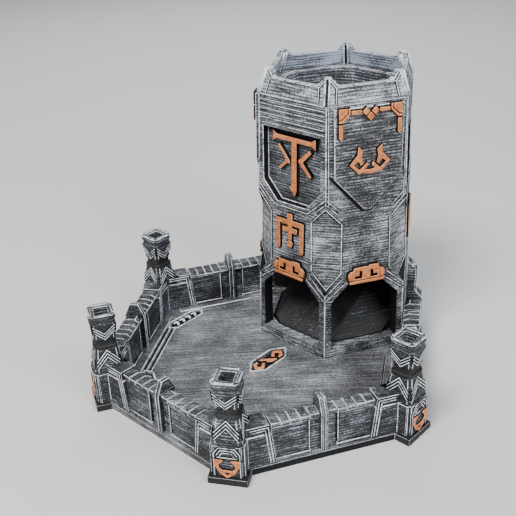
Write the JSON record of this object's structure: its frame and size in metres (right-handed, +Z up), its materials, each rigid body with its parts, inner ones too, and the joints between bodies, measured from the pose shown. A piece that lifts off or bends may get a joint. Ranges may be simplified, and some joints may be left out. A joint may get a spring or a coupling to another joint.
{
  "type": "dice tower",
  "caption": "Hexagonal dice tower with arched exits, inner baffles and a ramp, standing in a low-walled hexagonal rolling tray with corner turrets.",
  "frame": {"origin": "bottom centre of the whole object's bounding box, on the table", "axes": "+Z up; -Y towards the front of the tray, +Y towards the tower; +X to the right seen from the front"},
  "size_m": [0.2132, 0.2104, 0.1739],
  "materials": {
    "stone_paint": "near-black printed plastic, dry-brushed in light grey, matt",
    "copper_paint": "copper paint, satin",
    "inner_dark": "near-black printed plastic, unbrushed"
  },
  "bodies": {
    "tray": {"end_pier_left": "stone_paint", "end_pier_right": "stone_paint", "floor_rune": "copper_paint", "tray_floor": "stone_paint", "turret_base_front_left": "stone_paint", "turret_base_front_right": "stone_paint", "turret_base_left": "stone_paint", "turret_base_right": "stone_paint", "turret_head_front_left": "stone_paint", "turret_head_front_right": "stone_paint", "turret_head_left": "stone_paint", "turret_head_right": "stone_paint", "turret_rune_front_left": "copper_paint", "turret_rune_front_right": "copper_paint", "turret_rune_left": "copper_paint", "turret_rune_right": "copper_paint", "wall_front": "stone_paint", "wall_front_left": "stone_paint", "wall_front_right": "stone_paint", "wall_left": "stone_paint", "wall_right": "stone_paint"},
    "tower": {"arched_storey": "stone_paint", "upper_shaft": "stone_paint", "crown": "stone_paint", "hopper": "inner_dark", "baffle_upper": "inner_dark", "baffle_lower": "inner_dark", "exit_ramp": "inner_dark", "gate_rune_1": "copper_paint", "gate_rune_2": "copper_paint", "gate_rune_3": "copper_paint", "keystone_1": "copper_paint", "keystone_2": "copper_paint", "keystone_3": "copper_paint", "pocket_rune_1": "copper_paint", "pocket_rune_2": "copper_paint", "pocket_rune_3": "copper_paint", "shield_1": "stone_paint", "shield_2": "stone_paint", "shield_3": "stone_paint", "shield_crest_1": "copper_paint", "shield_crest_2": "copper_paint", "shield_crest_3": "copper_paint", "shield_rune_1": "copper_paint", "shield_rune_2": "copper_paint", "shield_rune_3": "copper_paint"}
  },
  "joints": [
    {"name": "tower_lift", "type": "slide", "parent": "tray", "child": "tower", "axis": [0, 0, 1], "range_m": [0, 0.06]}
  ]
}
